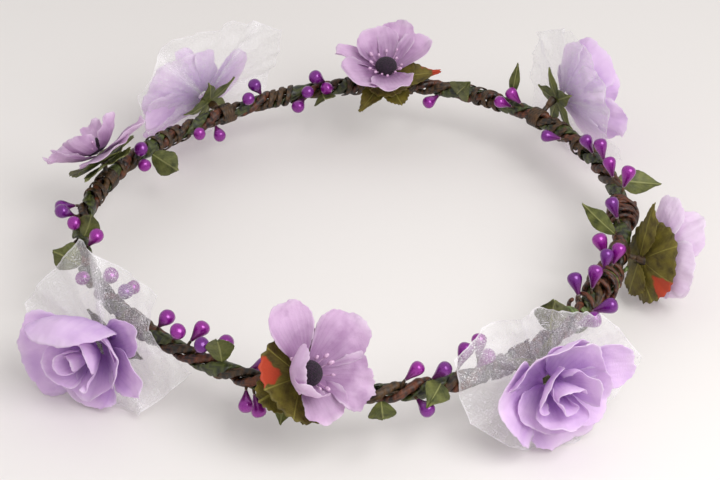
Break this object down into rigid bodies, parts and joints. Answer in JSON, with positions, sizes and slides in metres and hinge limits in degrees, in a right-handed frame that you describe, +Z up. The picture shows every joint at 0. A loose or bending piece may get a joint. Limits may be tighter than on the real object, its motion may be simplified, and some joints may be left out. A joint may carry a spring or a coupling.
{
  "type": "flower crown",
  "caption": "Hair crown: a hoop of twisted paper-wrapped wires that circles the head and carries fabric flowers with net behind them, berries and leaves.",
  "frame": {"origin": "centre of the hoop, in the plane of its centre line", "axes": "+Z up, square to the hoop; -Y towards the front anemone; +X to the right seen from the front"},
  "size_m": [0.2218, 0.2223, 0.054],
  "materials": {
    "bare_wire": "bare soft iron wire",
    "brown_paper": "dark brown paper tape, slightly glossy",
    "bark_paper": "mid-brown paper tape",
    "green_paper": "dark green paper tape",
    "berry_gloss": "glossy metallic purple lacquer",
    "dark_leaf": "stiffened dark green fabric",
    "olive_leaf": "stiffened olive fabric with an orange-red edge",
    "tulle": "fine off-white net",
    "rose_fabric": "lavender petal fabric",
    "anemone_fabric": "pale lavender petal fabric",
    "button_felt": "near-black purple felt",
    "pearl": "pearl white"
  },
  "bodies": {
    "vine": {"bark_strand": "bark_paper", "berries_back": "berry_gloss", "berries_front": "berry_gloss", "berries_left": "berry_gloss", "berries_right": "berry_gloss", "berry_stems": "green_paper", "brown_strand": "brown_paper", "closure_coil_brown": "brown_paper", "closure_coil_green": "green_paper", "core_wire": "bare_wire", "green_strand": "green_paper", "tendril_coils": "bark_paper", "vine_leaves_back": "dark_leaf", "vine_leaves_front": "dark_leaf", "vine_leaves_left": "dark_leaf", "vine_leaves_right": "dark_leaf"},
    "rose_front_left": {"rose_front_left_bud": "rose_fabric", "rose_front_left_calyx": "dark_leaf", "rose_front_left_inner_petals": "rose_fabric", "rose_front_left_outer_petals": "rose_fabric", "rose_front_left_stem": "green_paper", "rose_front_left_tulle": "tulle"},
    "rose_front_right": {"rose_front_right_bud": "rose_fabric", "rose_front_right_calyx": "dark_leaf", "rose_front_right_inner_petals": "rose_fabric", "rose_front_right_outer_petals": "rose_fabric", "rose_front_right_stem": "green_paper", "rose_front_right_tulle": "tulle"},
    "rose_back_left": {"rose_back_left_bud": "rose_fabric", "rose_back_left_calyx": "dark_leaf", "rose_back_left_inner_petals": "rose_fabric", "rose_back_left_outer_petals": "rose_fabric", "rose_back_left_stem": "green_paper", "rose_back_left_tulle": "tulle"},
    "rose_back_right": {"rose_back_right_bud": "rose_fabric", "rose_back_right_calyx": "dark_leaf", "rose_back_right_inner_petals": "rose_fabric", "rose_back_right_outer_petals": "rose_fabric", "rose_back_right_stem": "green_paper", "rose_back_right_tulle": "tulle"},
    "anemone_front": {"anemone_front_button": "button_felt", "anemone_front_leaves": "olive_leaf", "anemone_front_petals": "anemone_fabric", "anemone_front_stamens": "pearl", "anemone_front_stem": "green_paper"},
    "anemone_left": {"anemone_left_button": "button_felt", "anemone_left_leaves": "olive_leaf", "anemone_left_petals": "anemone_fabric", "anemone_left_stamens": "pearl", "anemone_left_stem": "green_paper"},
    "anemone_back": {"anemone_back_button": "button_felt", "anemone_back_leaves": "olive_leaf", "anemone_back_petals": "anemone_fabric", "anemone_back_stamens": "pearl", "anemone_back_stem": "green_paper"},
    "anemone_right": {"anemone_right_button": "button_felt", "anemone_right_leaves": "olive_leaf", "anemone_right_petals": "anemone_fabric", "anemone_right_stamens": "pearl", "anemone_right_stem": "green_paper"}
  },
  "joints": [
    {"name": "rose_front_left_turn", "type": "hinge", "parent": "vine", "child": "rose_front_left", "pos_m": [-0.07193, -0.05763, 0], "axis": [0.6673, -0.7447, 0], "range_deg": [-15, 15]},
    {"name": "rose_front_right_turn", "type": "hinge", "parent": "vine", "child": "rose_front_right", "pos_m": [0.05009, -0.07568, 0], "axis": [0.7828, 0.6223, 0], "range_deg": [-15, 15]},
    {"name": "rose_back_left_turn", "type": "hinge", "parent": "vine", "child": "rose_back_left", "pos_m": [-0.05041, 0.07094, 0], "axis": [-0.8108, -0.5854, 0], "range_deg": [-15, 15]},
    {"name": "rose_back_right_turn", "type": "hinge", "parent": "vine", "child": "rose_back_right", "pos_m": [0.06728, 0.06775, 0], "axis": [-0.6885, 0.7253, 0], "range_deg": [-15, 15]},
    {"name": "anemone_front_turn", "type": "hinge", "parent": "vine", "child": "anemone_front", "pos_m": [-0.01619, -0.0918, 0], "axis": [0.9768, -0.2141, 0], "range_deg": [-15, 15]},
    {"name": "anemone_left_turn", "type": "hinge", "parent": "vine", "child": "anemone_left", "pos_m": [-0.08972, 0.02454, 0], "axis": [-0.3746, -0.9272, 0], "range_deg": [-15, 15]},
    {"name": "anemone_back_turn", "type": "hinge", "parent": "vine", "child": "anemone_back", "pos_m": [0.01026, 0.09294, 0], "axis": [-1, 0.0069, 0], "range_deg": [-15, 15]},
    {"name": "anemone_right_turn", "type": "hinge", "parent": "vine", "child": "anemone_right", "pos_m": [0.08722, -0.02014, 0], "axis": [0.285, 0.9585, 0], "range_deg": [-15, 15]}
  ]
}
